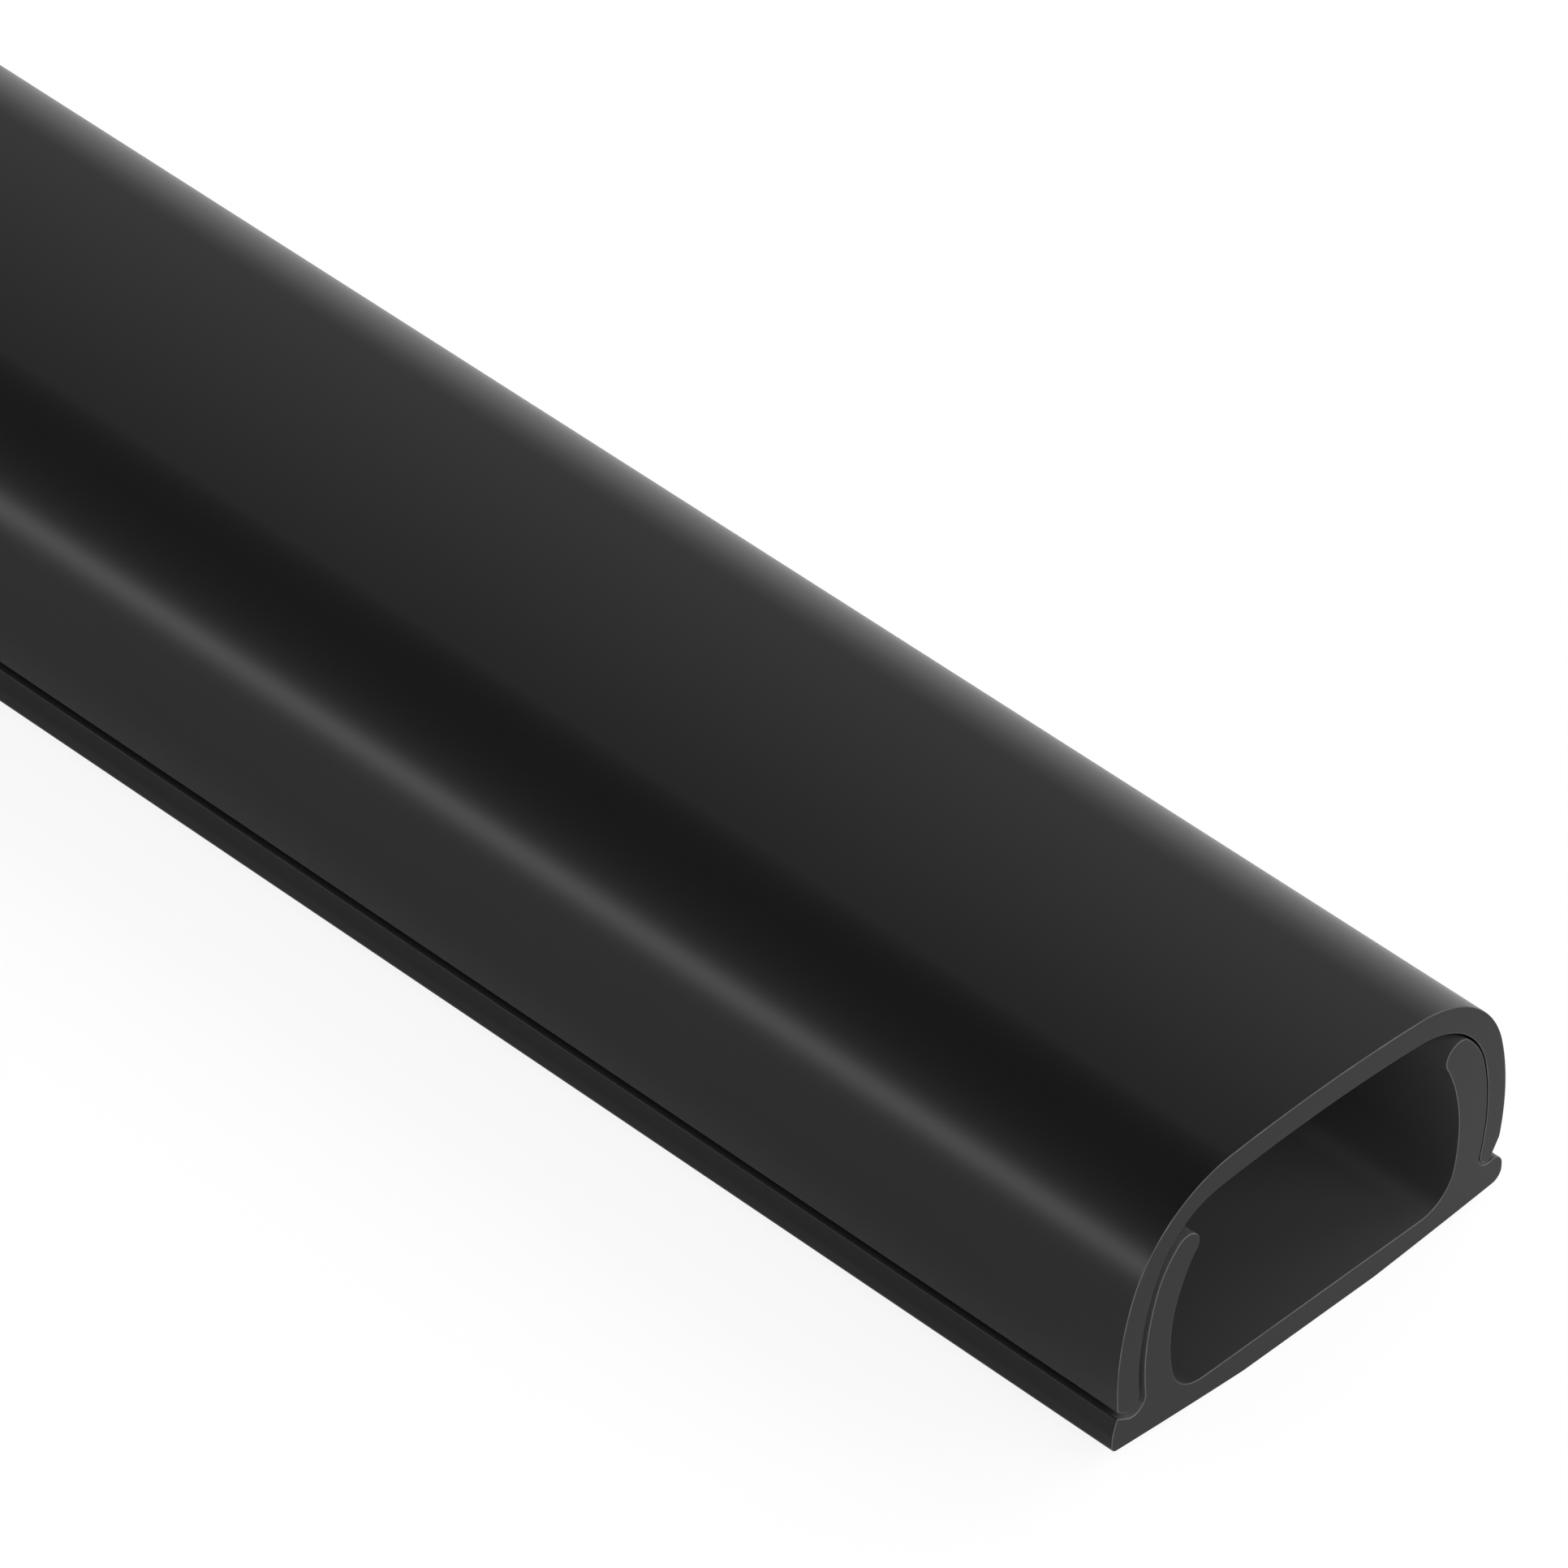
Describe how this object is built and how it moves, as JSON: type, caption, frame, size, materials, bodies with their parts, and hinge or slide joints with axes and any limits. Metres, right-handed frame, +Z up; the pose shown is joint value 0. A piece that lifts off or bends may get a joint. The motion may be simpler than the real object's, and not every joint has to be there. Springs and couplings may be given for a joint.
{
  "type": "half-round cord cover raceway with clip-on cover",
  "caption": "Half-round cord cover raceway: a channel base with two curved clip arms and a clip-on cover, both extruded and sawn to length.",
  "frame": {"origin": "middle of the underside, half way along the length", "axes": "+Y along the length, +X across the width, +Z up from the wall face towards the crown of the cover"},
  "size_m": [0.03, 0.4, 0.0166],
  "materials": {
    "base_plastic": "satin black extruded plastic, sawn ends",
    "cover_plastic": "satin black extruded plastic, sawn ends"
  },
  "bodies": {
    "base": {"base_channel": "base_plastic"},
    "cover": {"snap_cover": "cover_plastic"}
  },
  "joints": [
    {"name": "cover_slide", "type": "slide", "parent": "base", "child": "cover", "axis": [0, 1, 0], "range_m": [-0.38, 0.38]}
  ]
}
